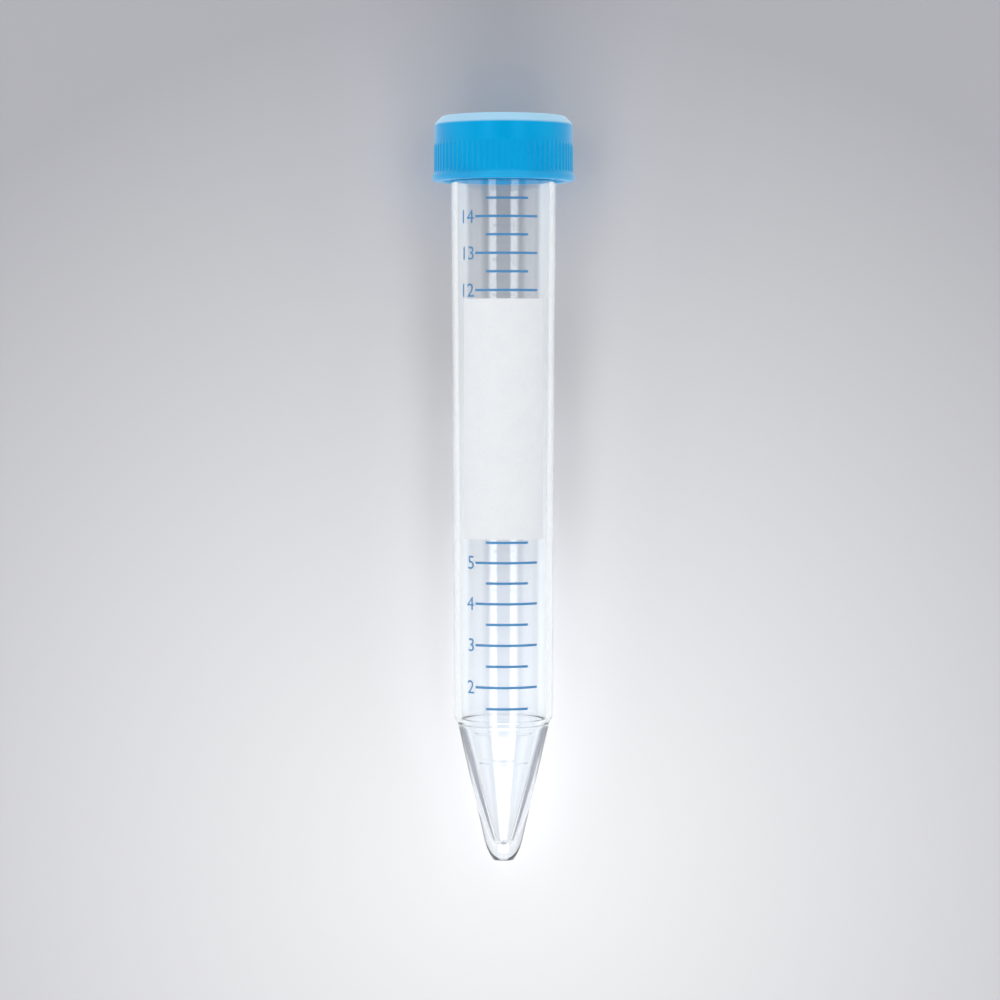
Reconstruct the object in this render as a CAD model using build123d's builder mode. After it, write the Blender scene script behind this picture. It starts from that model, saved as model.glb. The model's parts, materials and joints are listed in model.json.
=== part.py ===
from build123d import *

import os
from math import acos, asin, atan2, cos, degrees, hypot, radians, sin, tan

# A closed 15 ml conical tube, lying where it comes to rest on a flat surface.
#
# The tube is one clear moulding and its screw cap is another. Both are turned about
# one axis, so each starts as a half section: the distance from the axis runs across
# and the height above the tip runs up. The moulding details that aren't turned
# follow: the thread, the marks in the cone and the grip ribs.
#
# The closed tube rests on the rim of its cap and on the shoulder above its cone, so
# its axis climbs a little towards the cap. +Y runs from the tip to the cap, z = 0 is
# the surface, and the origin is on it, under the middle of the whole.

# ---- Tube, outside (mm, degrees, heights above the tip) ----
tube_height = 117.7
body_radius = 7.92  # just above the shoulder
body_draft = 0.283  # the mould's taper: the wall widens towards the mouth
shoulder_height = 23.3
shoulder_round = 1.1
shoulder_step = 0.47  # how far inside the body the cone starts
cone_end_radius = 3.03
cone_end_height = 3.0
tip_flat_radius = 1.7
gate_radius = 0.9  # the dimple where the plastic entered the mould
gate_depth = 0.3
gate_floor_radius = 0.6
mouth_bevel = 0.2

# ---- Tube, inside ----
side_wall = 1.1  # just above the shoulder, thinning towards the mouth
bore_draft = 0.455
bore_cone_drop = 0.6  # from the shoulder down to where the bore turns conical
bore_end_radius = 1.3  # the ball at the bottom
bore_end_height = 2.7

# ---- Marks moulded in the cone, at half a millilitre and one millilitre ----
mark_drops = (7.2, 2.3)  # from the shoulder down to each mark
mark_sweep = 84.0
mark_width = 0.4
mark_rise = 0.12

# ---- Thread on the neck ----
thread_pitch = 2.9
thread_turns = 1.5
thread_rise = 0.65
thread_foot = 1.1
thread_crest = 0.5
thread_below_mouth = 1.6  # from the mouth to the end of the thread
thread_root = 0.3  # how far the bead reaches into the wall

# ---- Cap ----
cap_height = 10.25
skirt_wall = 1.64
top_thickness = 1.35
top_bevel = 1.15
rim_step = 0.37  # how far the rim stands out from the skirt
rim_height = 0.85
rim_slope_height = 0.7
rim_bevel = 0.3
seal_gap = 0.05  # from the mouth to the top of the cap's inside
seal_depth = 1.1  # the tapered plug that seals the mouth
seal_taper = 1.6
seal_clearance = 0.2
thread_clearance = 0.3
lead_in = 0.5

# ---- Grip ribs round the skirt ----
rib_count = 72
rib_width = 0.52
rib_rise = 0.17
rib_height = 4.3  # above the rim's slope
rib_foot = 0.6  # how far a rib runs down into the rim
rib_top_bevel = 0.16
rib_root = 0.4  # how far a rib reaches into the wall

# ---- Where each turned outline is drawn: 0 faces +X and 90 faces up ----
tube_seam = 96
cap_seam = 45

# ---- Worked out from the sizes above ----


def body_wall(height):
    """The outer radius of the tube at a height above its shoulder."""
    return body_radius + (height - shoulder_height) * tan(radians(body_draft))


def bore_wall(height):
    """The inner radius of the tube at a height above its cone."""
    return bore_radius + (height - bore_cone_height) * tan(radians(bore_draft))


def cone_wall(height):
    """The outer radius of the cone."""
    share = (height - cone_end_height) / (cone_top_height - cone_end_height)
    return cone_end_radius + share * (cone_top_radius - cone_end_radius)


cone_top_radius = body_radius - shoulder_step
shoulder_center = body_radius - shoulder_round
shoulder_turn = degrees(acos((cone_top_radius - shoulder_center) / shoulder_round))
cone_top_height = shoulder_height - shoulder_round * sin(radians(shoulder_turn))
cone_slope = atan2(cone_top_radius - cone_end_radius, cone_top_height - cone_end_height)

bore_radius = body_radius - side_wall
bore_cone_height = shoulder_height - bore_cone_drop
ball_height = bore_end_height + bore_end_radius
bore_cone_rise = bore_cone_height - ball_height
bore_cone_slope = atan2(bore_radius, bore_cone_rise) - asin(
    bore_end_radius / hypot(bore_radius, bore_cone_rise)
)

thread_height = thread_turns * thread_pitch
thread_start = tube_height - thread_below_mouth - thread_height
neck_radius = body_wall(thread_start)
thread_crest_radius = body_wall(tube_height) + thread_rise

cap_inside_height = tube_height + seal_gap
cap_top = cap_inside_height + top_thickness
cap_bottom = cap_top - cap_height
cap_bore_radius = thread_crest_radius + thread_clearance
skirt_radius = cap_bore_radius + skirt_wall
rim_radius = skirt_radius + rim_step
seal_radius = bore_wall(tube_height) - seal_clearance
skirt_bottom = cap_bottom + rim_height + rim_slope_height

# The surface touches the round of the shoulder and the corner of the cap's rim.
reach = (cap_bottom + rim_bevel) - shoulder_height
rise = rim_radius - shoulder_center
rest_angle = atan2(rise, reach) - asin(shoulder_round / hypot(reach, rise))
along = Vector(0, cos(rest_angle), sin(rest_angle))
tip_above_surface = (
    shoulder_round
    + shoulder_center * cos(rest_angle)
    - shoulder_height * sin(rest_angle)
)
whole_length = cap_top * cos(rest_angle) + (
    skirt_radius - top_bevel + tip_flat_radius
) * sin(rest_angle)
tip = Vector(0, tip_flat_radius * sin(rest_angle) - whole_length / 2, tip_above_surface)
spine = Axis(tip, along)


def half_section(turn):
    """The plane of a half section, turned about the axis: 0 faces +X, 90 faces up."""
    out = Vector(
        cos(radians(turn)),
        -sin(radians(turn)) * sin(rest_angle),
        sin(radians(turn)) * cos(rest_angle),
    )
    return Plane(origin=tip, x_dir=out, z_dir=out.cross(along))


def level(height):
    """The plane across the axis at a height above the tip."""
    return Plane(origin=tip + along * height, x_dir=(1, 0, 0), z_dir=along)


# ---- Tube ----
with BuildPart() as tube:
    with BuildSketch(half_section(tube_seam)) as tube_section:
        with BuildLine():
            gate = Polyline(
                (0, gate_depth),
                (gate_floor_radius, gate_depth),
                (gate_radius, 0),
                (tip_flat_radius, 0),
            )
            cone = Line(
                (cone_end_radius, cone_end_height),
                (cone_top_radius, cone_top_height),
            )
            TangentArc(cone @ 0, gate @ 1, tangent=-(cone % 0))
            shoulder = CenterArc(
                (shoulder_center, shoulder_height),
                shoulder_round,
                -shoulder_turn,
                shoulder_turn - body_draft,
            )
            body = Line(shoulder @ 1, (body_wall(tube_height), tube_height))
            mouth = Line(body @ 1, (bore_wall(tube_height), tube_height))
            bore = Line(mouth @ 1, (bore_radius, bore_cone_height))
            ball = CenterArc(
                (0, ball_height), bore_end_radius, -90, 90 - degrees(bore_cone_slope)
            )
            Line(bore @ 1, ball @ 1)
            Line(ball @ 0, gate @ 0)
        make_face()
        chamfer(tube_section.vertices().sort_by(Axis.Y)[-2:], mouth_bevel)
    revolve(axis=spine)

    for drop in mark_drops:
        height = shoulder_height - drop
        with BuildSketch(half_section(90 + mark_sweep / 2)):
            with BuildLine():
                middle = Vector(cone_wall(height), height)
                up = Vector(sin(cone_slope), cos(cone_slope)) * mark_width
                out = Vector(cos(cone_slope), -sin(cone_slope)) * mark_rise
                Polyline(middle - up - out, middle + out, middle + up - out, close=True)
            make_face()
        revolve(axis=spine, revolution_arc=mark_sweep)

    # The helix begins at the top and is turned to begin at the side instead.
    thread_path = Helix(
        thread_pitch,
        thread_height,
        neck_radius,
        center=tip + along * thread_start,
        direction=along,
        mode=Mode.PRIVATE,
    ).rotate(spine, 90)
    thread_out = half_section(0).x_dir
    with BuildSketch(
        Plane(origin=thread_path @ 0, x_dir=thread_out, z_dir=thread_path % 0)
    ):
        with BuildLine():
            Polyline(
                (-thread_root, -thread_foot / 2),
                (0, -thread_foot / 2),
                (thread_rise, -thread_crest / 2),
                (thread_rise, thread_crest / 2),
                (0, thread_foot / 2),
                (-thread_root, thread_foot / 2),
                close=True,
            )
        make_face()
    sweep(path=thread_path, is_frenet=True)

# ---- One grip rib, on an upright axis at the origin, to be repeated round the cap ----
rib_plane = Plane(
    origin=(skirt_radius - rib_root, 0, skirt_bottom), x_dir=(0, 1, 0), z_dir=(1, 0, 0)
)
with BuildPart() as rib:
    with BuildSketch(rib_plane) as rib_face:
        with Locations((0, (rib_height - rib_foot) / 2)):
            Rectangle(rib_width, rib_height + rib_foot)
        chamfer(rib_face.vertices().group_by(Axis.Y)[-1], rib_top_bevel)
    extrude(amount=rib_root + rib_rise)

# ---- Cap ----
with BuildPart() as cap:
    with BuildSketch(half_section(cap_seam)):
        with BuildLine():
            Polyline(
                (0, cap_top),
                (skirt_radius - top_bevel, cap_top),
                (skirt_radius, cap_top - top_bevel),
                (skirt_radius, skirt_bottom),
                (rim_radius, cap_bottom + rim_height),
                (rim_radius, cap_bottom + rim_bevel),
                (rim_radius - rim_bevel, cap_bottom),
                (cap_bore_radius + lead_in, cap_bottom),
                (cap_bore_radius, cap_bottom + lead_in),
                (cap_bore_radius, cap_inside_height),
                (seal_radius, cap_inside_height),
                (seal_radius - seal_taper, cap_inside_height - seal_depth),
                (0, cap_inside_height - seal_depth),
                close=True,
            )
        make_face()
    revolve(axis=spine)

    with Locations(level(0)):
        with PolarLocations(0, rib_count):
            add(rib.part)

# ---- Files ----
os.makedirs("parts", exist_ok=True)
for piece, label in ((tube, "tube"), (cap, "cap")):
    piece.part.label = label
    export_step(piece.part, f"parts/{label}.step")

print("rest angle", round(degrees(rest_angle), 3), "degrees")
print("tip at", tip, "cap top", round(cap_top, 3), "cap bottom", round(cap_bottom, 3))
for piece in (tube, cap):
    box = piece.part.bounding_box()
    print(piece.part.label, round(piece.part.volume, 1), "mm3", box.min, box.max)
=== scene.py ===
# %% [markdown]
# # A clear conical tube with a blue screw cap
#
# The real thing is two mouldings and a print. The tube is clear polystyrene: a long
# barrel that widens a hair towards its mouth, and a cone that ends in a small flat tip.
# The cap is blue polyethylene with fine grip ribs and a smooth rim. A blue scale and a
# white writing patch are printed on the barrel.
#
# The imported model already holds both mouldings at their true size, and this script
# gives them their looks. Clear plastic shows every facet, so the tube is made again here
# with a much finer skin, and so is the cap, on the same sizes and the same axis.

import json
from math import acos, asin, atan2, ceil, cos, hypot, pi, radians, sin, tan

import bmesh
import bpy
from mathutils import Matrix, Vector


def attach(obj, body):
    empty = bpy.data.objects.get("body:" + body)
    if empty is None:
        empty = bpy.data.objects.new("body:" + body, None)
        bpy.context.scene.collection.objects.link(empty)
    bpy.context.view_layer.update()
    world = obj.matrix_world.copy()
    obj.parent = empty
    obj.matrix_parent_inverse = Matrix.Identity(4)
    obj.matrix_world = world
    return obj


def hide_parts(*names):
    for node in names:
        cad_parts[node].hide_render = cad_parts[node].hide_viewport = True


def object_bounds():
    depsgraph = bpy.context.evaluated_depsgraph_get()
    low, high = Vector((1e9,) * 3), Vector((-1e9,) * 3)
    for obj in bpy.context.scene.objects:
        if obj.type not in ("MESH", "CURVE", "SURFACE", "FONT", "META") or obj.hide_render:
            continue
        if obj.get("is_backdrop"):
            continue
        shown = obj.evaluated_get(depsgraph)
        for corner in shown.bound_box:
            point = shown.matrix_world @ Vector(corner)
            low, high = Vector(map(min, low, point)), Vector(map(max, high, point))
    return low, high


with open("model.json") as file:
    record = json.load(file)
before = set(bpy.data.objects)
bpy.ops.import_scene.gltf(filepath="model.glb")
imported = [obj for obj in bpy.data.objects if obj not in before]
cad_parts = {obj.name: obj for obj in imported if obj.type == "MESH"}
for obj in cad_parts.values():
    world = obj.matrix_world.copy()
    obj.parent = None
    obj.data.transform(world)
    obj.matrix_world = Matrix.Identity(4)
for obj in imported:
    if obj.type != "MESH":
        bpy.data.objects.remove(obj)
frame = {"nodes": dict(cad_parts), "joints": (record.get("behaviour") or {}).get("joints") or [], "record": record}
cad_low, cad_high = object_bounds()
print("pieces in the packed model:", sorted(frame["nodes"]))

# %% [markdown]
# ## The axis
#
# Everything here is turned about one line, and the closed tube leans 2.3 degrees on it,
# because it rests on the cap's rim and on the shoulder above the cone. A maker would
# draw the outline first and ask where it goes later. So each point is given as a
# distance from the axis, a height above the tip and a turn, all in millimetres and
# radians, and one small function puts it in the frame.

# %% Find the axis and the tip
MM = 0.001
ALONG = Vector(frame["joints"][0]["axis"]).normalized()
SIDE = Vector((1, 0, 0))
UP = SIDE.cross(ALONG)

mounts = {mount["name"]: mount for mount in frame["record"]["mounts"]}
cap_top_point = Vector(mounts["cap_top"]["pos_m"])


def span(node):
    """The lowest and highest point of a node along the axis, below the cap's top."""
    reach = [(v.co - cap_top_point).dot(ALONG) for v in frame["nodes"][node].data.vertices]
    return min(reach), max(reach)


TIP = cap_top_point + ALONG * span("tube")[0]
tube_height = (span("tube")[1] - span("tube")[0]) / MM
cap_top = -span("tube")[0] / MM
cap_height = (span("cap")[1] - span("cap")[0]) / MM
cap_bottom = cap_top - cap_height


def spot(radius, height, turn):
    """A point in the frame. A turn of 0 faces +X and a quarter turn faces up."""
    out = SIDE * cos(turn) + UP * sin(turn)
    return TIP + (ALONG * height + out * radius) * MM


print(f"tube {tube_height:.2f} mm, cap {cap_height:.2f} mm, whole {cap_top:.2f} mm")

# %% [markdown]
# ## Outlines
#
# A turned piece is only as good as its outline. Real mouldings have no knife edges:
# every corner has a small round, and it is this round that catches the light. The
# helpers below take corners with a radius each, put an arc in every corner, and add
# points to the long runs. One extra point sits just inside each end of a run. Without
# it, smooth shading would bend the whole run towards the corner, and clear plastic would
# show that as a smear.

# %% Helpers for outlines
ARC_STEP = radians(12)
HEM = 0.05  # from the end of a run to the point that holds its shading
NEAR = 1e-4  # points closer than this are one point


def arc(center, radius, start, end):
    """Points on an arc, in a half section of distance and height."""
    count = max(3, ceil(abs(end - start) / ARC_STEP))
    steps = [start + (end - start) * i / count for i in range(count + 1)]
    return [(center[0] + radius * cos(t), center[1] + radius * sin(t)) for t in steps]


def tangent_arc(start, heading, end):
    """The arc that leaves start along a heading and ends at a point."""
    across = (-heading[1], heading[0])
    gap = (end[0] - start[0], end[1] - start[1])
    radius = (gap[0] ** 2 + gap[1] ** 2) / (2 * (gap[0] * across[0] + gap[1] * across[1]))
    center = (start[0] + across[0] * radius, start[1] + across[1] * radius)
    first = atan2(start[1] - center[1], start[0] - center[0])
    last = atan2(end[1] - center[1], end[0] - center[0])
    last -= 2 * pi * round((last - first) / (2 * pi))
    return arc(center, abs(radius), first, last)


def soften(corners):
    """Rounds each corner (distance, height, radius) with an arc; the ends stay."""
    points = [corners[0][:2]]
    for before, corner, after in zip(corners, corners[1:], corners[2:]):
        if not corner[2]:
            points.append(corner[:2])
            continue
        into = Vector(before[:2]) - Vector(corner[:2])
        out = Vector(after[:2]) - Vector(corner[:2])
        half = into.angle(out) / 2
        trim = corner[2] / tan(half)
        bisector = (into.normalized() + out.normalized()).normalized()
        center = Vector(corner[:2]) + bisector * corner[2] / sin(half)
        start = Vector(corner[:2]) + into.normalized() * trim - center
        end = Vector(corner[:2]) + out.normalized() * trim - center
        first = atan2(start.y, start.x)
        last = atan2(end.y, end.x)
        last -= 2 * pi * round((last - first) / (2 * pi))
        points += arc(center, corner[2], first, last)
    return points + [corners[-1][:2]]


def fill(points, gap):
    """Adds points to the runs that are longer than gap, and one at each of their hems."""
    filled = [points[0]]
    for start, end in zip(points, points[1:]):
        run = Vector(end) - Vector(start)
        if run.length > max(gap, 4 * HEM):
            hem = HEM / run.length
            count = ceil(run.length / gap)
            shares = [hem] + [i / count for i in range(1, count)] + [1 - hem]
            filled += [tuple(Vector(start) + run * share) for share in shares]
        filled.append(end)
    return filled


def chain(*parts):
    """Joins parts of an outline and drops the points that they share."""
    joined = [parts[0][0]]
    for part in parts:
        joined += [p for p in part if hypot(p[0] - joined[-1][0], p[1] - joined[-1][1]) > NEAR]
    return joined


square_corner = soften([(0, 0, 0), (1, 0, 0.2), (1, 1, 0)])
print("a rounded square corner takes", len(square_corner) - 2, "points")


# %% [markdown]
# ## Turning an outline into a skin
#
# The Screw and Spin tools would turn a drawn curve, but the thread, the marks in the
# cone and the grip ribs all ride on the turned wall. So the skin is written point by
# point: at each turn, a relief function says how far the plastic stands out of the
# plain wall there. The skin is closed, from the axis round to the axis, because light
# has to know where clear plastic starts and ends.

# %% The lathe
def mesh_object(name, points, faces):
    """A closed mesh with its faces turned outwards and smooth shading."""
    mesh = bpy.data.meshes.new(name)
    mesh.from_pydata(points, [], faces)
    shape = bmesh.new()
    shape.from_mesh(mesh)
    if shape.calc_volume(signed=True) < 0:
        bmesh.ops.reverse_faces(shape, faces=shape.faces)
    shape.to_mesh(mesh)
    shape.free()
    mesh.shade_smooth()
    piece = bpy.data.objects.new(name, mesh)
    bpy.context.scene.collection.objects.link(piece)
    return piece


def lathe(name, outline, turns, relief):
    """Carries an outline round the axis; relief(index, height, turn) is added outwards."""
    points = [spot(0, outline[0][1], 0)]
    for index, (radius, height) in enumerate(outline[1:-1], start=1):
        points += [spot(radius + relief(index, height, t), height, t) for t in turns]
    points.append(spot(0, outline[-1][1], 0))

    count = len(turns)
    rings = len(outline) - 2
    faces = []
    for j in range(count):
        k = (j + 1) % count
        faces.append((0, 1 + k, 1 + j))
        for i in range(rings - 1):
            low = 1 + i * count
            faces.append((low + j, low + k, low + count + k, low + count + j))
        last = 1 + (rings - 1) * count
        faces.append((last + j, last + k, len(points) - 1))
    return mesh_object(name, points, faces)


def ease(share):
    """A smooth step from 0 to 1."""
    share = min(1, max(0, share))
    return share * share * (3 - 2 * share)


print("a smooth step climbs", [round(ease(i / 4), 2) for i in range(5)])


# %% [markdown]
# ## The tube
#
# The barrel tapers by a quarter of a degree so that it slides out of its mould, and its
# bore tapers a little more, so the wall thins towards the mouth. Below the shoulder the
# wall turns into a cone whose inside ends in a small ball, where the last drop gathers.
# The tip is flat with a dimple where the melt came in.

# %% The tube's sizes, in millimetres
body_radius = 7.92
body_draft = radians(0.283)
shoulder_height = 23.3
shoulder_round = 1.1
shoulder_step = 0.47
cone_end = (3.03, 3.0)
tip_flat_radius = 1.7
gate_radius = 0.9
gate_depth = 0.3
gate_floor_radius = 0.6
side_wall = 1.1
bore_draft = radians(0.455)
bore_cone_drop = 0.6  # from the shoulder down to where the bore turns conical
bore_end_height = 2.7
ball_radius = 1.3
bore_radius = body_radius - side_wall
bore_cone_height = shoulder_height - bore_cone_drop
ball_height = bore_end_height + ball_radius
moulding_round = 0.12  # the small round on every edge
mouth_round = 0.25


def body_wall(height):
    """The barrel's outer radius at a height above the tip."""
    return body_radius + (height - shoulder_height) * tan(body_draft)


def bore_wall(height):
    """The barrel's inner radius at a height above the tip."""
    return bore_radius + (height - bore_cone_height) * tan(bore_draft)


cone_top_radius = body_radius - shoulder_step
shoulder_center = body_radius - shoulder_round
shoulder_turn = acos((cone_top_radius - shoulder_center) / shoulder_round)
cone_top = (cone_top_radius, shoulder_height - shoulder_round * sin(shoulder_turn))
cone_slope = atan2(cone_top[0] - cone_end[0], cone_top[1] - cone_end[1])
bore_cone_rise = bore_cone_height - ball_height
bore_cone_slope = atan2(bore_radius, bore_cone_rise) - asin(
    ball_radius / hypot(bore_radius, bore_cone_rise)
)
print(f"wall {side_wall:.2f} mm at the shoulder,",
      f"{body_wall(tube_height) - bore_wall(tube_height):.2f} mm at the mouth")

# %% [markdown]
# ## Thread and marks
#
# The thread is one low bead that climbs one and a half turns round the neck. Each end
# fades out, so that the cap starts without a knock. Two thin ridges in the cone, at a
# half and one millilitre, are moulded and carry no ink. Both are reliefs on the wall:
# the distance from the middle of the bead gives the height of the plastic.

# %% Relief on the tube's outside
thread_pitch = 2.9
thread_turns = 1.5
thread_rise = 0.65
thread_foot = 1.1
thread_crest = 0.5
thread_below_mouth = 1.6
thread_start = tube_height - thread_below_mouth - thread_turns * thread_pitch
thread_fade = 0.06  # of a turn, at each end

mark_drops = (7.2, 2.3)  # from the shoulder down to each mark
mark_heights = [shoulder_height - drop for drop in mark_drops]
mark_sweep = radians(84)
mark_fade = radians(3)  # at each end
mark_width = 0.26
mark_rise = 0.12


def bead(height, turn):
    """How far the thread stands out of the neck."""
    share = (-turn / (2 * pi)) % 1
    best = 0
    for lap in range(ceil(thread_turns)):
        travel = share + lap
        if travel > thread_turns:
            continue
        off = abs(height - thread_start - travel * thread_pitch)
        flank = (thread_foot / 2 - off) / ((thread_foot - thread_crest) / 2)
        end = min(travel, thread_turns - travel) / thread_fade
        best = max(best, thread_rise * ease(flank) * ease(end))
    return best


def cone_mark(height, turn):
    """How far the moulded marks stand out of the cone."""
    off = abs((turn - pi / 2 + pi) % (2 * pi) - pi)
    side = ease((mark_sweep / 2 - off) / mark_fade)
    near = min(abs(height - middle) for middle in mark_heights)
    return mark_rise * side * ease((mark_width - near) / mark_width)


print(f"thread from {thread_start:.1f} mm to {tube_height - thread_below_mouth:.1f} mm,",
      "marks at", ", ".join(f"{height:.1f} mm" for height in mark_heights))


# %% [markdown]
# ## The tube's outline
#
# The outline runs up the outside and down the bore. Rows are a millimetre or two apart
# where the wall is straight, and a tenth where the bead or a mark needs them.

# %% The tube's skin
coarse, fine, tip_rows = 2.0, 0.1, 0.3
mark_margin = 0.5  # the fine rows above and below a mark
neck_margin = 1.0  # the fine rows below the thread
bore_bend = 4.0  # the wide round where the bore turns conical
mouth_rows = 8  # the last rows of the outside, which round the mouth
turn_count = 256


def on_cone(height):
    """A point on the outside of the cone."""
    return cone_end[0] + (height - cone_end[1]) * tan(cone_slope), height


tip_heading = (-sin(cone_slope), -cos(cone_slope))
tip_bulge = tangent_arc(cone_end, tip_heading, (tip_flat_radius, 0))[::-1]
tip_face = soften([
    (0, gate_depth, 0),
    (gate_floor_radius, gate_depth, moulding_round),
    (gate_radius, 0, moulding_round),
    (tip_flat_radius, 0, 0),
])
cone_run = [cone_end]
for middle in mark_heights:
    low, high = on_cone(middle - mark_margin), on_cone(middle + mark_margin)
    cone_run = chain(cone_run, fill([cone_run[-1], low], coarse), fill([low, high], fine))
cone_run = chain(cone_run, fill([cone_run[-1], cone_top], coarse))
shoulder = arc((shoulder_center, shoulder_height), shoulder_round, -shoulder_turn, -body_draft)
neck_foot = (body_wall(thread_start - neck_margin), thread_start - neck_margin)
mouth = soften([
    (*neck_foot, 0),
    (body_wall(tube_height), tube_height, mouth_round),
    (bore_wall(tube_height), tube_height, mouth_round),
    (bore_radius, bore_cone_height, 0),
])
outside = chain(
    fill(tip_face, tip_rows),
    tip_bulge,
    cone_run,
    shoulder,
    fill([shoulder[-1], neck_foot], coarse),
    fill(mouth[:2], fine),
    mouth[1:-1],
)
ball = arc((0, ball_height), ball_radius, -bore_cone_slope, -pi / 2)
bore = soften([
    (*outside[-1], 0),
    (bore_radius, bore_cone_height, bore_bend),
    (*ball[0], 0),
])
inside = chain(fill(bore, coarse), ball[:-1] + [(0, ball_height - ball_radius)])
tube_outline = chain(outside, inside)
tube_turns = [2 * pi * j / turn_count for j in range(turn_count)]


def tube_relief(index, height, turn):
    """The thread on the neck and the marks in the cone, on the outside only."""
    if index >= len(outside) - mouth_rows:
        return 0
    if height > neck_foot[1]:
        return bead(height, turn)
    if cone_end[1] < height < cone_top[1]:
        return cone_mark(height, turn)
    return 0


clear_tube = lathe("clear_tube", tube_outline, tube_turns, tube_relief)
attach(clear_tube, "tube")
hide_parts("tube")
print("tube:", len(tube_outline), "rows,", len(clear_tube.data.polygons), "faces")

# %% [markdown]
# ## The cap
#
# The cap's skirt is smooth near the top and carries 72 fine ribs below, which run down
# into a slightly wider rim. Each rib is a rounded strip about half a millimetre wide,
# so eight points a rib are placed where its curve needs them: three over its
# back, two on each flank and one in the valley. Inside are the thread, and the plug
# that seals the mouth.

# %% The cap's sizes, in millimetres
skirt_radius = 10.976
rim_radius = 11.346
rim_height = 0.85
rim_slope_height = 0.7
rim_bevel = 0.3
top_bevel = 1.15
cap_bore_radius = 9.336
lead_in = 0.5
seal_gap = 0.05
seal_clearance = 0.2
seal_depth = 1.1
seal_taper = 1.6
cap_inside_height = tube_height + seal_gap
seal_radius = bore_wall(tube_height) - seal_clearance
slope_top = cap_bottom + rim_height + rim_slope_height
skirt_top = cap_top - top_bevel

rib_count = 72
rib_width = 0.52
rib_rise = 0.12
rib_height = 4.3
rib_fade = 0.3
rib_top = slope_top + rib_height
rib_pitch = 2 * pi * skirt_radius / rib_count
print(f"ribs: {rib_count}, one every {rib_pitch:.2f} mm round the skirt")

# %% [markdown]
# ## Ribs and the cap's own thread
#
# A rib has a round back, and it fades out at its top, where the cutter that made the
# mould ran out. The cap's thread is the tube's thread turned inside out: the same climb,
# half a pitch away, so that one bead pulls on the other when the cap is tight. Both are
# reliefs, like those on the tube.

# %% Relief on the cap
inner_thread_rise = 0.62
inner_thread_width = 1.2
inner_thread_flank = 1.6  # how steep its sides are
inner_thread_fade = 0.4
above_cap_bottom, below_cap_roof = 1.6, 2.0


def rib(height, turn):
    """How far a grip rib stands out of the skirt."""
    off = abs((turn * rib_count / (2 * pi) + 0.5) % 1 - 0.5) * rib_pitch
    back = max(0, 1 - (off / (rib_width / 2)) ** 2) ** 0.5
    return rib_rise * back * ease((rib_top - height) / rib_fade)


def inner_thread(height, turn):
    """How far the cap's own bead stands into its bore, half a pitch from the tube's."""
    share = (-turn / (2 * pi)) % 1
    low = cap_bottom + above_cap_bottom
    high = cap_inside_height - below_cap_roof
    best = 0
    for lap in range(-1, 2):
        middle = thread_start + (share + lap + 0.5) * thread_pitch
        end = min(middle - low, high - middle) / inner_thread_fade
        near = 1 - abs(height - middle) / (inner_thread_width / 2)
        best = max(best, inner_thread_rise * ease(near * inner_thread_flank) * ease(end))
    return best


bead_gap = cap_bore_radius - inner_thread_rise - body_wall(tube_height)
print(f"the cap's bead leaves {bead_gap:.2f} mm to the neck")

# %% [markdown]
# ## The cap's outline
#
# The outline runs down the outside, round the rim and up the bore to the plug. The plug
# is a short tapered stopper: it wedges itself into the mouth, and it is the reason why
# such a cap needs no soft liner.

# %% The cap's skin
rib_shares = (-0.29, -0.24, -0.14, 0, 0.14, 0.24, 0.29, 0.5)
rib_turns = [2 * pi * (k + share) / rib_count for k in range(rib_count) for share in rib_shares]
skirt_rows, bore_rows = 0.45, 0.16

cap_outside = chain(fill(soften([
    (0, cap_top, 0),
    (skirt_radius - top_bevel, cap_top, 0.35),
    (skirt_radius, skirt_top, 0.35),
    (skirt_radius, slope_top, 0.3),
    (rim_radius, cap_bottom + rim_height, 0.2),
    (rim_radius, cap_bottom + rim_bevel, 0.15),
    (rim_radius - rim_bevel, cap_bottom, 0.15),
    (cap_bore_radius + lead_in, cap_bottom, 0),
]), skirt_rows))
cap_inside = fill(soften([
    (cap_bore_radius + lead_in, cap_bottom, 0),
    (cap_bore_radius, cap_bottom + lead_in, 0.2),
    (cap_bore_radius, cap_inside_height, 0.15),
    (seal_radius, cap_inside_height, 0.1),
    (seal_radius - seal_taper, cap_inside_height - seal_depth, 0.3),
    (0, cap_inside_height - seal_depth, 0),
]), bore_rows)
cap_outline = chain(cap_outside, cap_inside)


def cap_relief(index, height, turn):
    """Ribs on the skirt and the thread in the bore."""
    radius = cap_outline[index][0]
    if index >= len(cap_outside):
        return -inner_thread(height, turn) if radius > cap_bore_radius - NEAR else 0
    if radius >= skirt_radius - NEAR and height > cap_bottom + rim_height:
        return max(0, skirt_radius + rib(height, turn) - radius)
    return 0


screw_cap = lathe("screw_cap", cap_outline, rib_turns, cap_relief)
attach(screw_cap, "cap")
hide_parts("cap")
print("cap:", len(cap_outline), "rows,", len(screw_cap.data.polygons), "faces")

# %% [markdown]
# ## The scale
#
# The barrel is screen printed. What matters is that the scale is true, so its heights
# aren't typed in: the volume below each height is worked out from the bore, and each
# line sits where that volume is reached. Whole millilitres get a long line with a
# number, and halves a short one.

# %% Volumes
mm3_in_ml = 1000
halvings = 40


def filled_to(height):
    """The millilitres below a height in the bore."""
    slope = tan(bore_cone_slope)
    low = ball_height - ball_radius * sin(bore_cone_slope)
    ball_cap = low - (ball_height - ball_radius)
    volume = pi * ball_cap**2 * (ball_radius - ball_cap / 3)
    start = ball_radius * cos(bore_cone_slope)
    top = min(height, bore_cone_height)
    end = start + (top - low) * slope
    volume += pi * (top - low) * (start**2 + start * end + end**2) / 3
    if height > bore_cone_height:
        last = bore_wall(height)
        tall = height - bore_cone_height
        volume += pi * tall * (bore_radius**2 + bore_radius * last + last**2) / 3
    return volume / mm3_in_ml


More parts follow.
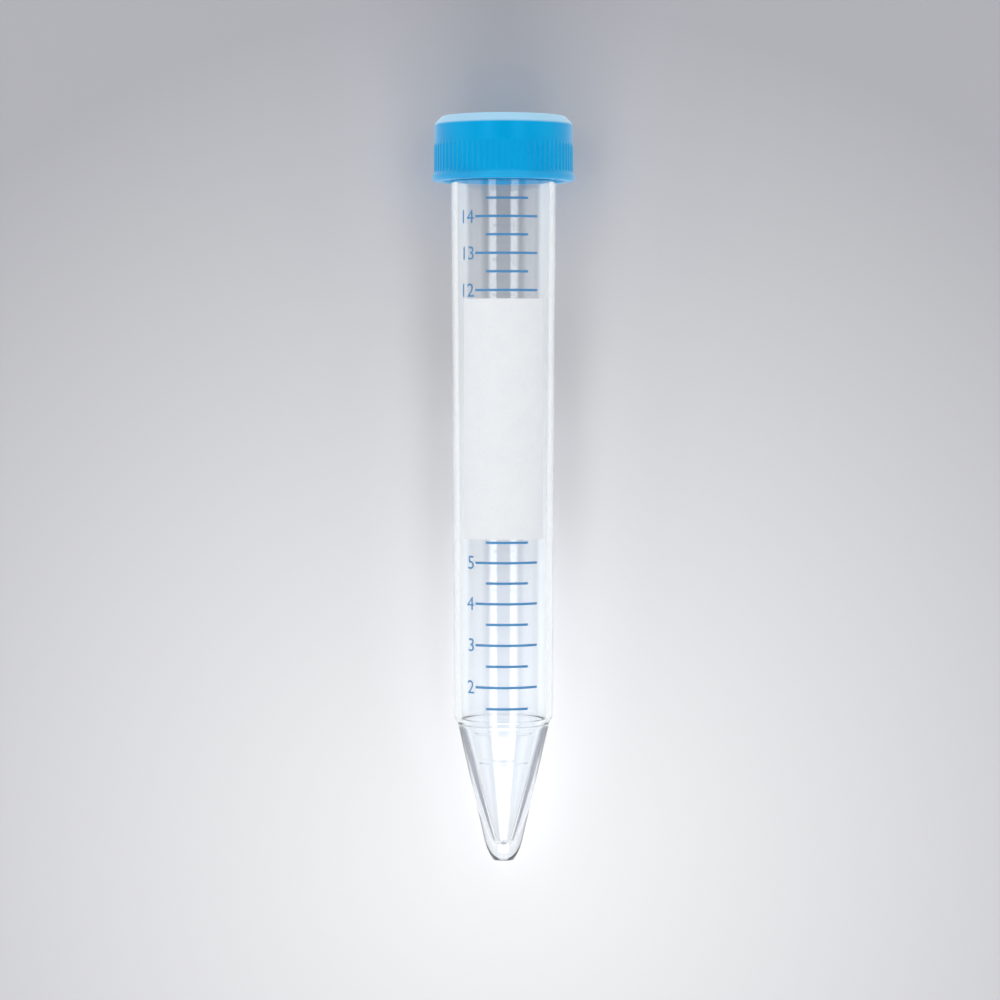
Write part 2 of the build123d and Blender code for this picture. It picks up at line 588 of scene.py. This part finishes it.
def line_height(millilitres):
    """The height where the bore holds that many millilitres, found by halving."""
    low, high = ball_height + 1, tube_height
    for _ in range(halvings):
        middle = (low + high) / 2
        low, high = (middle, high) if filled_to(middle) < millilitres else (low, middle)
    return low


for mark in (0.5, 1, 5, 10, 14):
    print(f"{mark} ml at {line_height(mark):.1f} mm")

# %% [markdown]
# ## Ink
#
# Ink is a film a few hundredths of a millimetre thick. It is laid out flat first, with
# distances in millimetres to the right of the middle and heights above the tip, and then
# wrapped onto the wall as a thin closed solid. Wide shapes are cut into narrow strips
# before they are wrapped, or they would cut the corner of the curve.

# %% Helpers for print
ink_gap = 0.004
ink_thickness = 0.02
strip_width = 0.25
film_edge = radians(40)  # a sharper fold than this is an edge of the film


def wrapped(across, height, lift):
    """A point of the flat layout, on the barrel."""
    radius = body_wall(height)
    return spot(radius + lift, height, pi / 2 - across / radius)


def print_on_barrel(name, flat):
    """Wraps a flat mesh onto the barrel as a thin closed film."""
    low = min(v.co.x for v in flat.verts)
    high = max(v.co.x for v in flat.verts)
    for i in range(1, ceil((high - low) / strip_width)):
        bmesh.ops.bisect_plane(
            flat,
            geom=flat.verts[:] + flat.edges[:] + flat.faces[:],
            plane_co=(low + i * strip_width, 0, 0),
            plane_no=(1, 0, 0),
        )
    bmesh.ops.remove_doubles(flat, verts=flat.verts, dist=NEAR)
    flat.verts.index_update()
    count = len(flat.verts)
    points = [wrapped(v.co.x, v.co.y, ink_gap) for v in flat.verts]
    points += [wrapped(v.co.x, v.co.y, ink_gap + ink_thickness) for v in flat.verts]
    faces = []
    for face in flat.faces:
        ring = [v.index for v in face.verts]
        faces.append([i + count for i in ring])
        faces.append(ring[::-1])
    for edge in flat.edges:
        if len(edge.link_faces) == 1:
            loop = edge.link_faces[0]
            ring = [v.index for v in loop.verts]
            a, b = edge.verts[0].index, edge.verts[1].index
            if ring[(ring.index(a) + 1) % len(ring)] != b:
                a, b = b, a
            faces.append((a, b, b + count, a + count))
    flat.free()
    piece = mesh_object(name, points, faces)
    piece.data.set_sharp_from_angle(angle=film_edge)
    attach(piece, "tube")
    return piece


def box_on(flat, left, right, low, high):
    """Adds a flat rectangle to the layout."""
    corners = [flat.verts.new((x, y, 0)) for x, y in
               ((left, low), (right, low), (right, high), (left, high))]
    flat.faces.new(corners)


print(f"ink: {ink_thickness} mm thick, cut into strips {strip_width} mm wide")

# %% [markdown]
# ## Graduations
#
# The lines are straight strips on a flat layout, long ones for whole millilitres and
# short ones between them. The patch takes the place of the lines from 6 to 11, and the
# cone carries its moulded marks instead of ink.

# %% The graduations
line_thickness = 0.38
long_left, long_right = -4.7, 5.75
short_left, short_right = -2.85, 4.0
numbered = (2, 3, 4, 5, 12, 13, 14)
halves = (1.5, 2.5, 3.5, 4.5, 5.5, 12.5, 13.5, 14.5)

layout = bmesh.new()
lines = [(amount, long_left, long_right) for amount in numbered]
lines += [(amount, short_left, short_right) for amount in halves]
for amount, left, right in lines:
    middle = line_height(amount)
    box_on(layout, left, right, middle - line_thickness / 2, middle + line_thickness / 2)
printed_scale = print_on_barrel("printed_scale", layout)
print("scale:", len(numbered), "long lines and", len(halves), "short ones")

# %% [markdown]
# ## Numbers
#
# The numbers stand to the left of the long lines and end at the same place, whether they
# have one digit or two. They are set in the built-in type, scaled by the height they
# really come out at, and joined into one flat layout before it is wrapped.

# %% The numbers
number_height = 2.1
number_right = -5.0
setting_size = 10  # large, so that the type keeps its shape until it is scaled


def number_layout(layout, text, right, middle, size):
    """Adds a number, set in the built-in type, with its right end and middle given."""
    type_curve = bpy.data.curves.new("number", "FONT")
    type_curve.body = text
    type_curve.size = setting_size
    type_curve.resolution_u = 3
    setter = bpy.data.objects.new("number", type_curve)
    bpy.context.scene.collection.objects.link(setter)
    bpy.context.view_layer.update()
    flat = bpy.data.meshes.new_from_object(setter)
    bpy.data.objects.remove(setter)
    low = min(v.co.y for v in flat.vertices)
    high = max(v.co.y for v in flat.vertices)
    end = max(v.co.x for v in flat.vertices)
    scale = size / (high - low)
    made = [
        layout.verts.new((
            right + (v.co.x - end) * scale,
            middle + (v.co.y - (low + high) / 2) * scale,
            0,
        ))
        for v in flat.vertices
    ]
    for face in flat.polygons:
        layout.faces.new([made[i] for i in face.vertices])
    bpy.data.meshes.remove(flat)


layout = bmesh.new()
for amount in numbered:
    number_layout(layout, str(amount), number_right, line_height(amount), number_height)
printed_numbers = print_on_barrel("printed_numbers", layout)
print("numbers:", ", ".join(str(amount) for amount in numbered))

# %% [markdown]
# ## The writing patch
#
# White ink takes a pencil where bare polystyrene doesn't. The patch is one large
# rectangle. It's cut into rows here and into strips when it is wrapped, so that every
# face lies close to the barrel.

# %% The writing patch
patch_low, patch_high = 52.1, 90.1
patch_reach, reach_height = radians(50), 70  # how far it goes round each side, and where
patch_half_width = patch_reach * body_wall(reach_height)
patch_rows = 20

layout = bmesh.new()
for i in range(patch_rows):
    low = patch_low + (patch_high - patch_low) * i / patch_rows
    high = patch_low + (patch_high - patch_low) * (i + 1) / patch_rows
    box_on(layout, -patch_half_width, patch_half_width, low, high)
writing_patch = print_on_barrel("writing_patch", layout)
print(f"patch: {2 * patch_half_width:.1f} mm wide, {patch_high - patch_low:.1f} mm tall")

# %% [markdown]
# ## Finishes
#
# A finish is a small network of nodes. Colours are given as they look, from 0 to 255,
# and turned into the linear values that the renderer works with, so that a reader can
# compare them with a colour chart.

# %% Helpers for finishes
def linear(red, green, blue):
    """A colour given as it looks, in 0 to 255, as the renderer's linear values."""
    def one(value):
        value /= 255
        return value / 12.92 if value <= 0.04045 else ((value + 0.055) / 1.055) ** 2.4
    return (one(red), one(green), one(blue), 1)


def new_material(name):
    """A material with an empty tree and its output."""
    material = bpy.data.materials.new(name)
    material.use_nodes = True
    tree = material.node_tree
    tree.nodes.clear()
    output = tree.nodes.new("ShaderNodeOutputMaterial")
    return material, tree, output


def node(tree, kind, **values):
    """A node with some of its sockets set by name."""
    made = tree.nodes.new(kind)
    for name, value in values.items():
        made.inputs[name.replace("_", " ")].default_value = value
    return made


def wear(piece, material):
    """Gives a piece its one material."""
    piece.data.materials.clear()
    piece.data.materials.append(material)


print("the cap's blue as the renderer has it:", [round(c, 3) for c in linear(0, 159, 218)[:3]])

# %% [markdown]
# ## Node groups
#
# An effect that more than one material needs is a node group, as a moulder uses one
# polishing recipe on many moulds. The helpers below make a group, put it in a material
# and fill it with noise. Its sizes are in millimetres, so they can be held against the
# real surface.

# %% Helpers for node groups
def math_node(tree, operation, first, second):
    """An operation on two values, each a number or another node's output."""
    made = tree.nodes.new("ShaderNodeMath")
    made.operation = operation
    for socket, value in zip(made.inputs, (first, second)):
        if isinstance(value, (int, float)):
            socket.default_value = value
        else:
            tree.links.new(value, socket)
    return made.outputs[0]


def new_group(name, inputs, outputs):
    """An empty node group with the named sockets, and its two end nodes."""
    group = bpy.data.node_groups.new(name, "ShaderNodeTree")
    for label, value in inputs:
        socket = group.interface.new_socket(
            label, in_out="INPUT", socket_type="NodeSocketFloat"
        )
        socket.default_value = value
    for label in outputs:
        group.interface.new_socket(label, in_out="OUTPUT", socket_type="NodeSocketFloat")
    return group, group.nodes.new("NodeGroupInput"), group.nodes.new("NodeGroupOutput")


def place_group(tree, group, **values):
    """Puts a node group in a material and sets its inputs."""
    made = tree.nodes.new("ShaderNodeGroup")
    made.node_tree = group
    for name, value in values.items():
        made.inputs[name.replace("_", " ")].default_value = value
    return made


def in_millimetres(tree):
    """Places on the object, in millimetres from the frame's origin."""
    made = tree.nodes.new("ShaderNodeVectorMath")
    made.operation = "SCALE"
    made.inputs["Scale"].default_value = 1 / MM
    tree.links.new(tree.nodes.new("ShaderNodeTexCoord").outputs["Object"], made.inputs[0])
    return made.outputs[0]


def noise_of(tree, place, size, detail, roughness, stretch=1.0):
    """Noise whose grains are as large as a size, given by another node's output."""
    made = node(tree, "ShaderNodeTexNoise", Detail=detail, Roughness=roughness)
    tree.links.new(place, made.inputs["Vector"])
    tree.links.new(math_node(tree, "DIVIDE", 1 / stretch, size), made.inputs["Scale"])
    return made.outputs[0]


print("one unit inside a group is", MM, "m on the object")

# %% [markdown]
# ## A moulded skin
#
# Steel moulds are polished or spark-eroded, and the plastic copies them: a fine grain,
# and long shallow waves where the melt cooled unevenly. Both plastics have it, each at
# its own scale, so it's one group with two sizes in millimetres. It puts out a height
# for the grain, a height for the waves and a slow value that stains or dulls the skin.

# %% The group moulded_skin
moulded_skin, ends_in, ends_out = new_group(
    "moulded_skin",
    (("Grain Size", 0.2), ("Wave Size", 4.0)),
    ("Grain", "Waves", "Mottle"),
)
mottle_stretch = 3.0  # the stains are this much wider than the waves
place = in_millimetres(moulded_skin)
for label, size_from, stretch in (
    ("Grain", "Grain Size", 1.0),
    ("Waves", "Wave Size", 1.0),
    ("Mottle", "Wave Size", mottle_stretch),
):
    noise = noise_of(moulded_skin, place, ends_in.outputs[size_from], 2.0, 0.5, stretch)
    moulded_skin.links.new(noise, ends_out.inputs[label])
print("group:", moulded_skin.name, "with", len(moulded_skin.nodes), "nodes")

# %% [markdown]
# ## A screened print
#
# Screen-printed ink is pushed through a fine mesh. It lies unevenly: a little thinner
# here and there, with pinholes where a thread of the mesh lay. The blue and the white
# ink share this group. Its cover runs from 0, where the ink is thin, to 1.

# %% The group screened_ink
screened_ink, ends_in, ends_out = new_group(
    "screened_ink", (("Hole Size", 0.25), ("Patch Size", 3.0)), ("Cover", "Height")
)
place = in_millimetres(screened_ink)
holes = noise_of(screened_ink, place, ends_in.outputs["Hole Size"], 3.0, 0.6)
patches = noise_of(screened_ink, place, ends_in.outputs["Patch Size"], 3.0, 0.6)
hole_share, thin_at, thick_at = 0.6, 0.35, 0.6
cover = math_node(
    screened_ink,
    "ADD",
    math_node(screened_ink, "MULTIPLY", holes, hole_share),
    math_node(screened_ink, "MULTIPLY", patches, 1 - hole_share),
)
reach = node(screened_ink, "ShaderNodeMapRange", From_Min=thin_at, From_Max=thick_at)
screened_ink.links.new(cover, reach.inputs["Value"])
screened_ink.links.new(reach.outputs[0], ends_out.inputs["Cover"])
screened_ink.links.new(holes, ends_out.inputs["Height"])
print("group:", screened_ink.name, "with", len(screened_ink.nodes), "nodes")

# %% [markdown]
# ## From a value to a surface
#
# A group gives values between 0 and 1. A surface needs them as roughness within narrow
# limits, or as bumps of a few hundredths of a millimetre. One more helper picks between
# two whole shaders.

# %% Helpers for surfaces
def spread(tree, value, low, high):
    """Lays a value that runs from 0 to 1 over low to high."""
    made = node(tree, "ShaderNodeMapRange", To_Min=low, To_Max=high)
    tree.links.new(value, made.inputs["Value"])
    return made.outputs[0]


def bumped(tree, height, strength, distance):
    """A normal that follows a height."""
    made = node(tree, "ShaderNodeBump", Strength=strength, Distance=distance)
    tree.links.new(height, made.inputs["Height"])
    return made.outputs[0]


def choose_shader(tree, share, first, second, output):
    """Sends the first shader to the output, or the second where the share is 1."""
    made = tree.nodes.new("ShaderNodeMixShader")
    tree.links.new(share, made.inputs[0])
    tree.links.new(first.outputs[0], made.inputs[1])
    tree.links.new(second.outputs[0], made.inputs[2])
    tree.links.new(made.outputs[0], output.inputs["Surface"])


print("surface helpers: a range, a bump and a choice of shader")

# %% [markdown]
# ## Clear polystyrene
#
# Polystyrene bends light strongly, by 1.59, which is why a thin tube has such bright
# edges. It's glass to the renderer, with a trace of blue. Its shadow is the one thing
# that needs help. Light that has to find its way through four curved walls arrives as
# grain, so shadow rays pass straight through and are only dimmed a little.

# %% The material clear_polystyrene
trace_of_blue = linear(250, 252, 253)
shadow_tint = linear(246, 247, 249)
polish = (0.01, 0.05)
wave_bump = (0.03, 0.5 * MM)  # strength and height

clear_polystyrene, tree, output = new_material("clear_polystyrene")
plastic = node(tree, "ShaderNodeBsdfPrincipled", IOR=1.59, Transmission_Weight=1.0)
plastic.inputs["Base Color"].default_value = trace_of_blue
skin = place_group(tree, moulded_skin, Grain_Size=0.6, Wave_Size=5.0)
tree.links.new(spread(tree, skin.outputs["Mottle"], *polish), plastic.inputs["Roughness"])
ripple = bumped(tree, skin.outputs["Waves"], *wave_bump)
tree.links.new(ripple, plastic.inputs["Normal"])
shade = node(tree, "ShaderNodeBsdfTransparent", Color=shadow_tint)
path = tree.nodes.new("ShaderNodeLightPath")
choose_shader(tree, path.outputs["Is Shadow Ray"], plastic, shade, output)
wear(clear_tube, clear_polystyrene)
print("tube wears", clear_polystyrene.name)

# %% [markdown]
# ## Places and colours
#
# Wear isn't spread evenly, it sits on corners and edges. To put it there, a material has
# to know which place on the piece it is colouring. These helpers measure a place, turn
# the measure into a mask with a soft edge, and mix colours by it.

# %% Helpers for places and colours
def vector_node(tree, operation, first, second):
    """The outputs of an operation on a vector and a fixed one."""
    made = tree.nodes.new("ShaderNodeVectorMath")
    made.operation = operation
    tree.links.new(first, made.inputs[0])
    made.inputs[1].default_value = second
    return made.outputs


def step(tree, value, start, end):
    """A smooth rise from 0 at start to 1 at end, which may be the lower of the two."""
    made = node(tree, "ShaderNodeMapRange", From_Min=start, From_Max=end)
    made.interpolation_type = "SMOOTHSTEP"
    tree.links.new(value, made.inputs["Value"])
    return made.outputs[0]


def blend_colour(tree, share, first, second):
    """A mix of two colours, each of them a value or another node's output."""
    made = tree.nodes.new("ShaderNodeMix")
    made.data_type = "RGBA"
    tree.links.new(share, made.inputs["Factor"])
    for label, colour in (("A", first), ("B", second)):
        socket = next(s for s in made.inputs if s.name == label and s.type == "RGBA")
        if isinstance(colour, tuple):
            socket.default_value = colour
        else:
            tree.links.new(colour, socket)
    return next(s for s in made.outputs if s.type == "RGBA")


def two_tones(tree, value, first, second, start=0, end=1):
    """A colour that goes from the first to the second as a value goes from start to end."""
    made = tree.nodes.new("ShaderNodeValToRGB")
    for stop, place, colour in zip(made.color_ramp.elements, (start, end), (first, second)):
        stop.position = place
        stop.color = colour
    tree.links.new(value, made.inputs["Fac"])
    return made.outputs["Color"]


print("place helpers: vector maths, a soft step and two ways to mix colours")

# %% [markdown]
# ## Blue polyethylene
#
# The cap is softer and duller than the tube. Its colour is a strong sky blue all the
# way through, and its satin skin carries a fine grain that spreads every highlight.
# The colour drifts a little, as it does where pigment was mixed into the melt. Light
# goes a little way into the skin before it comes back, so the gloss is tinted too.
#
# The bevel round the top and the edge of the rim are painted paler. This is a painted
# highlight in the base colour, which stands in for the light that the bevel and the rim's
# edge catch. Where it is painted is worked out from a point's height and its distance from
# the axis.

# %% The material blue_polyethylene
deep_blue = linear(0, 154, 214)
light_blue = linear(0, 164, 221)
# Painted highlight: a pale blue in the base colour where the bevel and the rim's edge catch light.
highlight_blue = linear(205, 232, 242)
gloss_blue = linear(90, 200, 255)
bevel_highlight = 0.62
rim_highlight = 0.06  # as a share of the bevel's
satin = (0.24, 0.34)
grain_bump = (0.15, 0.05 * MM)
bevel_highlight_edge = (0.35, 0.05)  # how far inside the bevel the painted highlight starts and is full
rim_highlight_edge = 0.2

blue_polyethylene, tree, output = new_material("blue_polyethylene")
plastic = node(tree, "ShaderNodeBsdfPrincipled", IOR=1.52, Specular_Tint=gloss_blue)
skin = place_group(tree, moulded_skin, Grain_Size=0.12, Wave_Size=2.5)
drift = two_tones(tree, skin.outputs["Mottle"], deep_blue, light_blue, start=0.3, end=0.7)

place = tree.nodes.new("ShaderNodeTexCoord").outputs["Object"]
from_tip = vector_node(tree, "SUBTRACT", place, TIP)[0]
height_here = vector_node(tree, "DOT_PRODUCT", from_tip, ALONG)["Value"]
off_axis = vector_node(tree, "CROSS_PRODUCT", from_tip, ALONG)[0]
radius_here = vector_node(tree, "DISTANCE", off_axis, (0, 0, 0))["Value"]
# The masks below place the painted highlight on the bevel and, more faintly, on the rim's edge.
reach = math_node(tree, "ADD", height_here, radius_here)
top_corner = cap_top + skirt_radius - top_bevel
start, full = [(top_corner - inside) * MM for inside in bevel_highlight_edge]
bevel_highlight_mask = step(tree, reach, start, full)
rim_highlight_mask = step(tree, radius_here, (rim_radius - rim_highlight_edge) * MM, rim_radius * MM)
painted_highlight = math_node(tree, "MAXIMUM", bevel_highlight_mask, math_node(tree, "MULTIPLY", rim_highlight_mask, rim_highlight))
painted_highlight = math_node(tree, "MULTIPLY", painted_highlight, bevel_highlight)
blue_with_highlight = blend_colour(tree, painted_highlight, drift, highlight_blue)

tree.links.new(blue_with_highlight, plastic.inputs["Base Color"])
tree.links.new(spread(tree, skin.outputs["Grain"], *satin), plastic.inputs["Roughness"])
grain = bumped(tree, skin.outputs["Grain"], *grain_bump)
tree.links.new(grain, plastic.inputs["Normal"])
tree.links.new(plastic.outputs[0], output.inputs["Surface"])
wear(screw_cap, blue_polyethylene)
print("cap wears", blue_polyethylene.name)

# %% [markdown]
# ## Inks
#
# Each ink has two colours, one where it lies thick and one where it lies thin, and the
# group's cover picks between them. The white ink is meant to be written on, so it's
# duller than the blue.

# %% The materials blue_ink and white_ink
weave_bump = (0.2, 0.02 * MM)


def ink(name, pieces, thin, thick, dullness):
    """An ink that drifts between two colours, on the pieces it was printed as."""
    material, tree, output = new_material(name)
    film = node(tree, "ShaderNodeBsdfPrincipled", Roughness=dullness)
    screen = place_group(tree, screened_ink)
    tone = two_tones(tree, screen.outputs["Cover"], thin, thick)
    tree.links.new(tone, film.inputs["Base Color"])
    weave = bumped(tree, screen.outputs["Height"], *weave_bump)
    tree.links.new(weave, film.inputs["Normal"])
    tree.links.new(film.outputs[0], output.inputs["Surface"])
    for piece in pieces:
        wear(piece, material)
    print(name, "on", [piece.name for piece in pieces])


thin_blue, thick_blue = linear(76, 142, 190), linear(58, 128, 182)
thin_white, thick_white = linear(226, 230, 234), linear(232, 235, 238)
ink("blue_ink", (printed_scale, printed_numbers), thin_blue, thick_blue, dullness=0.4)
ink("white_ink", (writing_patch,), thin_white, thick_white, dullness=0.55)

# %% [markdown]
# ## Floor
#
# The tube lies on a plain matt card, large enough that its edges are far out of sight.

# %% The card
floor_half = 3.0

floor_mesh = bpy.data.meshes.new("floor")
corners = ((-1, -1), (1, -1), (1, 1), (-1, 1))
floor_mesh.from_pydata(
    [(x * floor_half, y * floor_half, cad_low.z) for x, y in corners], [], [(0, 1, 2, 3)]
)
floor = bpy.data.objects.new("floor", floor_mesh)
bpy.context.scene.collection.objects.link(floor)
floor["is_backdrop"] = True
print(f"card: {2 * floor_half:.0f} m wide")

# %% [markdown]
# ## The card's tones
#
# The card is painted with a pool of light: its colour is nearly white round the cone and
# mid grey further out. Far away it runs into a backdrop of the same grey, so that no
# horizon cuts the picture from any side.
#
# Clear plastic has little look of its own and shows what lies behind it. So the card has
# three painted tones that only light coming through the tube sees: white at both sides, a
# painted highlight that lights up the barrel's edges, a painted shade under the pool's own
# straight beneath, and a narrow painted grey strip beside the cone, which draws its wall
# in dark lines. Gloss and bounced light see that painted white too, brighter than the card
# the camera sees.

# %% The card's finish
painted_pool_middle = (0, -0.055, cad_low.z)
painted_pool_radius = 0.135
backdrop_from, backdrop_to = 0.25, 0.5  # from the pool's middle
painted_pool_pale = linear(244, 244, 245)  # in the painted pool's middle
card_grey = linear(173, 173, 179)
painted_bright_card = linear(246, 247, 249)  # painted highlight: whiter than the camera sees, through the tube, in gloss and in bounced light
shade_under_pale = linear(226, 227, 230)  # painted shade, through the tube, straight beneath
shade_under_grey = linear(161, 162, 168)
dark_strip_grey = linear(150, 154, 164)  # painted dark strip, through the tube, beside the cone
under_tube = 0.0065  # half the width of the painted shade, seen straight down through the barrel
under_edge = 0.0015
strip_reach = (0.008, 0.016)  # from the axis to the strips' near and far edges
strip_length = (-0.066, -0.0388)  # along the cone
sharp, soft = 0.001, 0.004  # how wide the strips' edges are


def seen_plainly(tree):
    """1 for what is seen directly, in a gloss or through the clear plastic."""
    path = tree.nodes.new("ShaderNodeLightPath").outputs
    either = math_node(tree, "MAXIMUM", path["Is Camera Ray"], path["Is Glossy Ray"])
    return math_node(tree, "MAXIMUM", either, path["Is Transmission Ray"])


floor_card, tree, output = new_material("floor_card")
card = node(tree, "ShaderNodeBsdfPrincipled", Roughness=0.5)
where = tree.nodes.new("ShaderNodeTexCoord").outputs["Object"]
# The painted pool of light: the camera sees a colour that fades from pale to grey.
distance = vector_node(tree, "DISTANCE", where, painted_pool_middle)["Value"]
fade = math_node(tree, "DIVIDE", distance, painted_pool_radius)
tone = two_tones(tree, fade, painted_pool_pale, card_grey)
painted_shade_tone = two_tones(tree, fade, shade_under_pale, shade_under_grey)

split = tree.nodes.new("ShaderNodeSeparateXYZ")
tree.links.new(where, split.inputs[0])
across, along = split.outputs["X"], split.outputs["Y"]
out = math_node(tree, "MAXIMUM", across, math_node(tree, "MULTIPLY", across, -1))
beneath = step(tree, out, under_tube + under_edge, under_tube)
strip = step(tree, out, strip_reach[0], strip_reach[0] + sharp)
for value, start, full in (
    (out, strip_reach[1] + soft, strip_reach[1]),
    (along, strip_length[0] - soft, strip_length[0]),
    (along, strip_length[1] + sharp, strip_length[1]),
):
    strip = math_node(tree, "MULTIPLY", strip, step(tree, value, start, full))

# Painted light and shade: the camera sees the painted pool, light through the tube sees the painted shade and dark
# strip, and gloss and bounce see the painted white.
path = tree.nodes.new("ShaderNodeLightPath").outputs
through = path["Is Transmission Ray"]
strip = math_node(tree, "MULTIPLY", through, strip)
beneath = math_node(tree, "MULTIPLY", through, beneath)
colour = blend_colour(tree, strip, painted_bright_card, dark_strip_grey)
colour = blend_colour(tree, beneath, colour, painted_shade_tone)
colour = blend_colour(tree, path["Is Camera Ray"], colour, tone)
tree.links.new(colour, card.inputs["Base Color"])

backdrop = node(tree, "ShaderNodeEmission", Color=card_grey, Strength=1.0)
far = step(tree, distance, backdrop_from, backdrop_to)
far = math_node(tree, "MULTIPLY", far, seen_plainly(tree))
choose_shader(tree, far, card, backdrop, output)
wear(floor, floor_card)
print(f"pool of light: {2 * painted_pool_radius / MM:.0f} mm across")

# %% [markdown]
# ## The room
#
# The room's air gives a little light from everywhere. It stays dim, so that the cap keeps
# its full colour in the middle. Seen directly, in a gloss or through clear plastic, the
# room is the same plain grey as the far card.

# %% The room
room_air = (0.96, 0.98, 1, 1)
room_strength = 0.15

world = bpy.data.worlds.new("studio")
bpy.context.scene.world = world
world.use_nodes = True
tree = world.node_tree
tree.nodes.clear()
room = node(tree, "ShaderNodeBackground", Color=room_air, Strength=room_strength)
backdrop = node(tree, "ShaderNodeBackground", Color=card_grey, Strength=1.0)
room_output = tree.nodes.new("ShaderNodeOutputWorld")
choose_shader(tree, seen_plainly(tree), room, backdrop, room_output)
print("the room alone lights the card to", room_strength, "of its own colour")

# %% [markdown]
# ## Light
#
# Seven soft panels light the tube. Two steep ones, left and right, lay the two pale
# bands along the middle of the barrel. Two low ones at the sides light the card and
# pale the cap's flanks. One stands on the card beyond the cap and catches the bevel
# round its top, and two higher ones, past the cap and past the tip, fill the shadows.
# With the room, they light the card to about its own colour.

# %% Lamps
panel_patches = 12  # each way, to add up how much a panel lights the card


def panel(name, place, aim, width, height, power):
    """A soft rectangular lamp that faces a point; returns how much it lights the card."""
    lamp = bpy.data.lights.new(name, "AREA")
    lamp.shape = "RECTANGLE"
    lamp.size, lamp.size_y = width, height
    lamp.energy = power
    holder = bpy.data.objects.new(name, lamp)
    holder.location = place
    heading = (Vector(aim) - Vector(place)).normalized()
    turn = heading.to_track_quat("-Z", "Y")
    holder.rotation_mode = "QUATERNION"
    holder.rotation_quaternion = turn
    bpy.context.scene.collection.objects.link(holder)
    lit = 0
    shares = [(i + 0.5) / panel_patches - 0.5 for i in range(panel_patches)]
    for x in shares:
        for y in shares:
            patch = Vector(place) + turn @ Vector((x * width, y * height, 0))
            facing = max(0, -patch.dot(heading)) * patch.z / patch.length**4
            lit += power / panel_patches**2 * facing / pi**2
    return lit


origin = (0, 0, 0)
beside_cap = (0, 0.05, 0.02)
panels = (
    # name, place, aim, width, height, power in watts
    ("left", (-0.283, 0, 0.607), origin, 0.9, 0.2, 1.1),
    ("right", (0.283, 0, 0.607), origin, 0.9, 0.2, 1.0),
    ("low_left", (-0.8, 0, 0.3), origin, 1.6, 0.6, 2.6),
    ("low_right", (0.8, 0, 0.3), origin, 1.6, 0.6, 2.0),
    ("beyond_cap", (0, 0.5, 0.06), beside_cap, 0.6, 0.12, 0.7),
    ("over_cap", (0, 0.7, 0.49), origin, 0.9, 0.15, 1.4),
    ("over_tip", (0, -0.7, 0.49), origin, 0.9, 0.3, 4.3),
)
level = room_strength + sum(panel(*row) for row in panels)
print(f"the card is lit to {level:.2f} of its own colour")

# %% [markdown]
# ## Camera
#
# The camera looks down on the lying tube from half a metre, so that the tube stands
# upright in the picture. A long lens keeps the barrel's sides parallel. Its place is
# given along the tube's own axis. It hangs over the barrel, short of the cap, and so it
# sees a little of the rim's underside.

# %% Camera
eye_height = 82.0
eye_distance = 474.0
eye_side = -0.56
eye_pitch = radians(2.9)
sensor_width = 36
lens_reach = 2.96  # the focal length, in sensor widths

camera_data = bpy.data.cameras.new("camera")
camera_data.sensor_width = sensor_width
camera_data.lens = sensor_width * lens_reach
camera = bpy.data.objects.new("camera", camera_data)
bpy.context.scene.collection.objects.link(camera)
camera.location = TIP + (ALONG * eye_height + UP * eye_distance + SIDE * eye_side) * MM
gaze = -UP * cos(eye_pitch) - ALONG * sin(eye_pitch)
right = SIDE
true_up = right.cross(gaze)
camera.rotation_mode = "QUATERNION"
camera.rotation_quaternion = Matrix((
    (right.x, true_up.x, -gaze.x),
    (right.y, true_up.y, -gaze.y),
    (right.z, true_up.z, -gaze.z),
)).to_quaternion()
camera_data.clip_start = 0.01
camera_data.clip_end = 20
bpy.context.scene.camera = camera
bpy.context.scene.view_settings.view_transform = "Standard"
print(f"camera: {(camera.location - TIP).length / MM:.0f} mm from the tip")

# %% [markdown]
# ## Sizes
#
# Looks mustn't make the object grow. The box round everything that was made here is
# compared with the box round the imported model, and the spare at each corner is printed.

# %% Sizes and the end
low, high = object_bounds()
print("spare at the low corner, mm:", [round(x / MM, 3) for x in low - cad_low])
print("spare at the high corner, mm:", [round(x / MM, 3) for x in cad_high - high])
